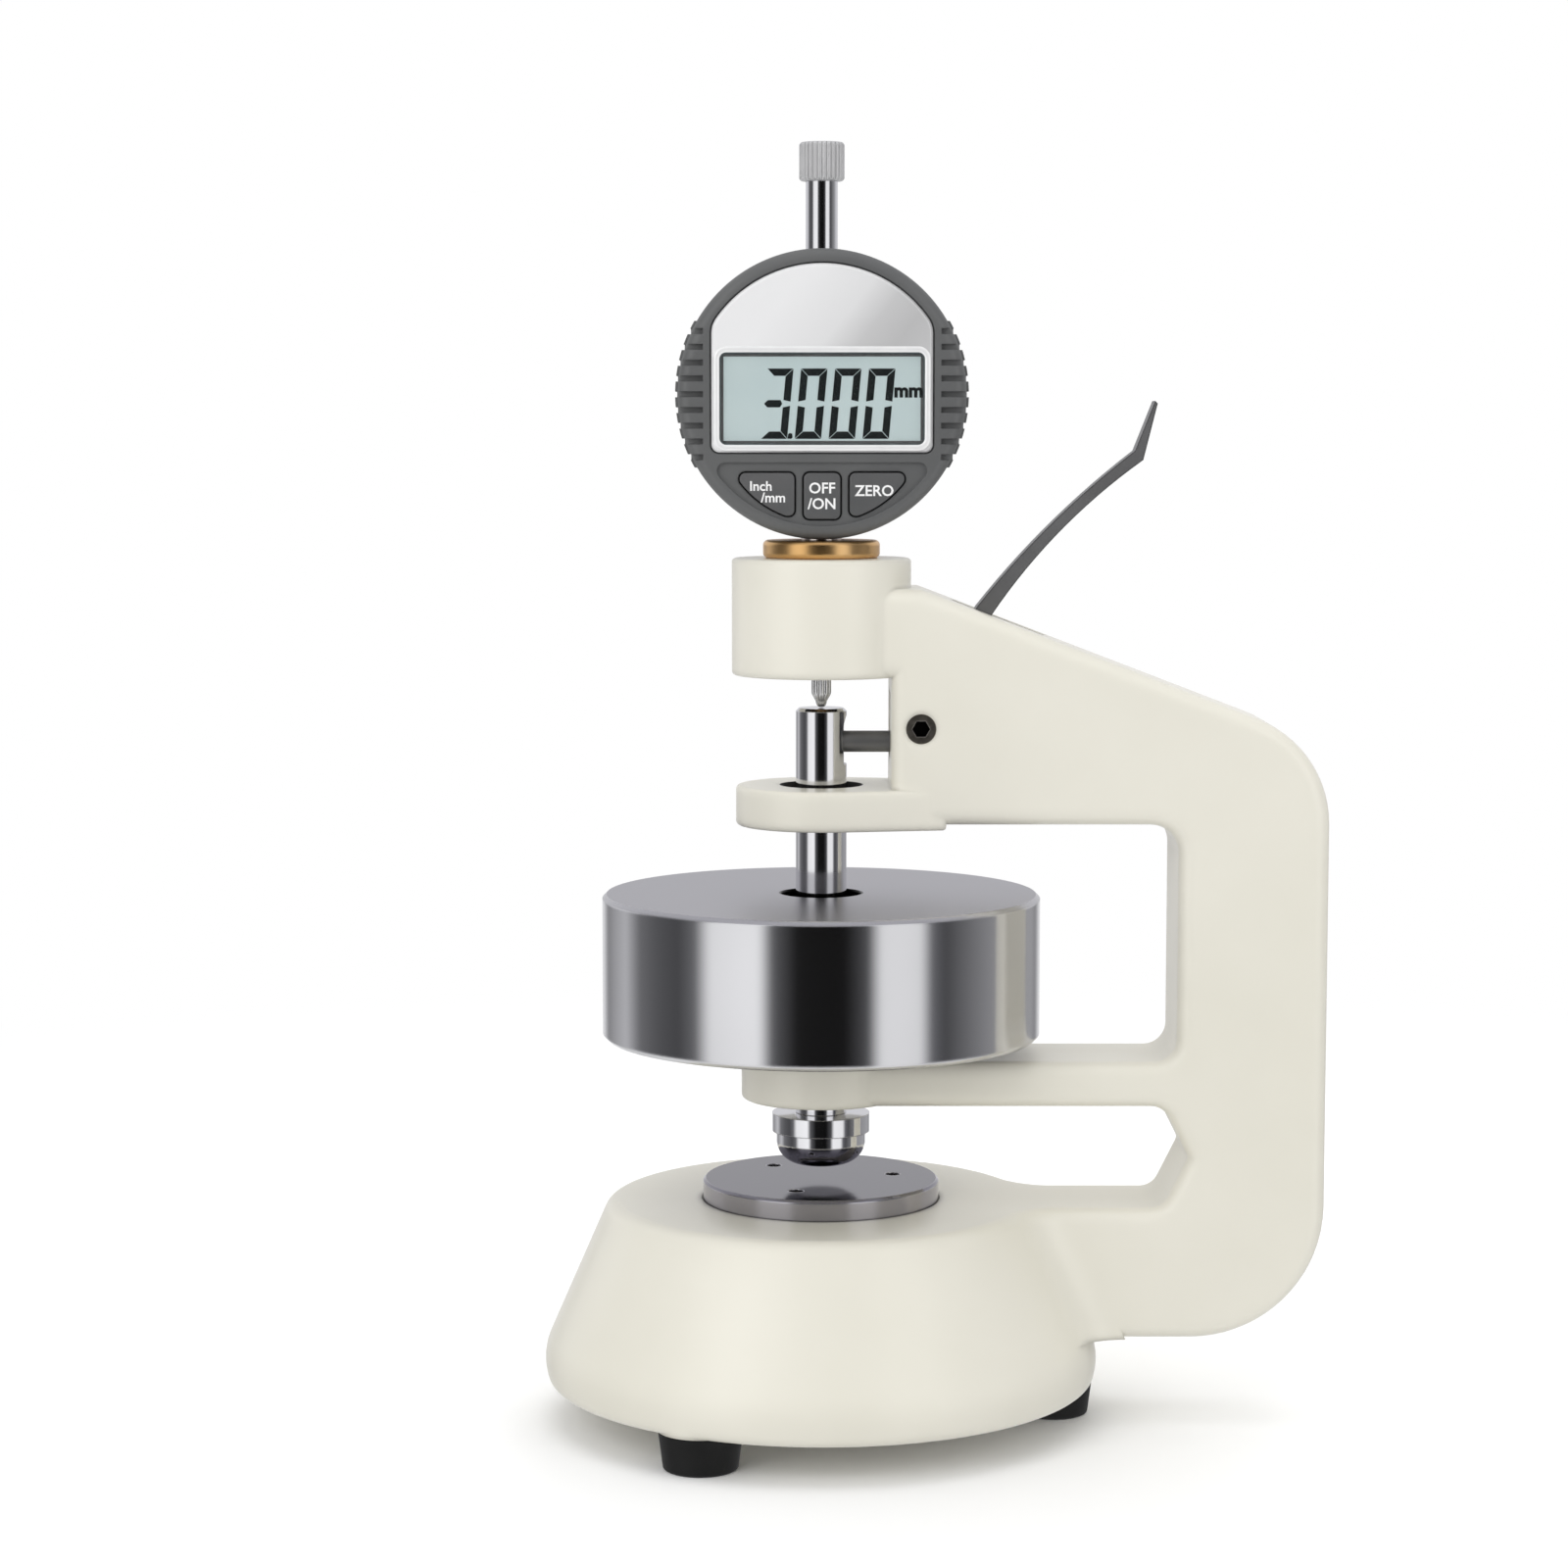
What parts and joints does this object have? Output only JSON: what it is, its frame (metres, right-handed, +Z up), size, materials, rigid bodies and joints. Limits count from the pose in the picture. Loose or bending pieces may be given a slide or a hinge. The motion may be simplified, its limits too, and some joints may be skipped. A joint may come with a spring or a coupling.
{
  "type": "digital thickness gauge",
  "caption": "Bench thickness gauge with a cast C-frame on a round base, a dead-weight spindle, a lifting lever and a round digital indicator.",
  "frame": {"origin": "middle of the footprint on the table, under the rubber feet", "axes": "+Z up, +X from the spindle towards the column, -Y the way the display faces"},
  "size_m": [0.1528, 0.1092, 0.25],
  "materials": {
    "cream_enamel": "smooth gloss enamel on a casting",
    "black_rubber": "matt",
    "zinc_screws": "zinc plated",
    "ground_steel": "ground and lapped",
    "polished_steel": "turned and polished",
    "bronze": "sintered",
    "brass": "turned",
    "black_oxide": "black oxide",
    "dark_steel": "dark grey plating",
    "grey_plastic": "fine moulded texture",
    "key_plastic": "moulded keys",
    "silver_plate": "satin silver with a bevelled edge",
    "clear_lens": "clear",
    "display": "liquid crystal display",
    "green_board": "circuit board",
    "cell_steel": "nickel plated can",
    "satin_aluminium": "knurled",
    "slider_brass": "machined",
    "spring_steel": "spring wire"
  },
  "bodies": {
    "frame": {"frame_casting": "cream_enamel", "rubber_foot_1": "black_rubber", "rubber_foot_2": "black_rubber", "rubber_foot_3": "black_rubber", "foot_screws": "zinc_screws", "back_cover_screws": "zinc_screws", "anvil_bolt": "zinc_screws", "anvil_level_screws": "zinc_screws", "anvil": "ground_steel", "indicator_stem": "polished_steel", "upper_guide_bush": "bronze", "lower_guide_bush": "bronze", "clamp_nut": "brass", "stem_collet": "brass", "lever_pivot_screw": "black_oxide", "indicator_housing": "grey_plastic", "indicator_back_cover": "grey_plastic", "battery_lid": "grey_plastic", "face_plate": "silver_plate", "lcd_window": "clear_lens", "lcd_panel": "display", "circuit_board": "green_board", "coin_cell": "cell_steel"},
    "spindle": {"load_spindle": "polished_steel", "weight_disc": "polished_steel", "weight_retaining_ring": "ground_steel", "presser_foot": "polished_steel"},
    "plunger": {"plunger_rod": "polished_steel", "contact_point": "polished_steel", "lifting_cap": "satin_aluminium", "plunger_slider": "slider_brass", "plunger_spring": "spring_steel"},
    "lever": {"lift_lever": "dark_steel", "lift_rod": "dark_steel"},
    "button_left": {"button_left": "key_plastic"},
    "button_middle": {"button_middle": "key_plastic"},
    "button_right": {"button_right": "key_plastic"}
  },
  "joints": [
    {"name": "spindle_slide", "type": "slide", "parent": "frame", "child": "spindle", "axis": [0, 0, 1], "range_m": [-0.003, 0.007]},
    {"name": "plunger_slide", "type": "slide", "parent": "frame", "child": "plunger", "axis": [0, 0, 1], "range_m": [-0.003, 0.007], "stiffness_N_per_m": 40, "springref_m": -0.02, "deforming": ["plunger_spring"]},
    {"name": "lever_pivot", "type": "hinge", "parent": "frame", "child": "lever", "pos_m": [-0.0027, 0, 0.1375], "axis": [0, 1, 0], "range_deg": [-9.2, 21.3]},
    {"name": "button_left_press", "type": "slide", "parent": "frame", "child": "button_left", "axis": [0, 1, 0], "range_m": [0, 0.0006], "stiffness_N_per_m": 300},
    {"name": "button_middle_press", "type": "slide", "parent": "frame", "child": "button_middle", "axis": [0, 1, 0], "range_m": [0, 0.0006], "stiffness_N_per_m": 300},
    {"name": "button_right_press", "type": "slide", "parent": "frame", "child": "button_right", "axis": [0, 1, 0], "range_m": [0, 0.0006], "stiffness_N_per_m": 300}
  ],
  "couplings": [
    {"joint": "plunger_slide", "follows": "spindle_slide", "ratio": 1},
    {"joint": "lever_pivot", "follows": "spindle_slide", "rad_per_m": 52.9}
  ]
}
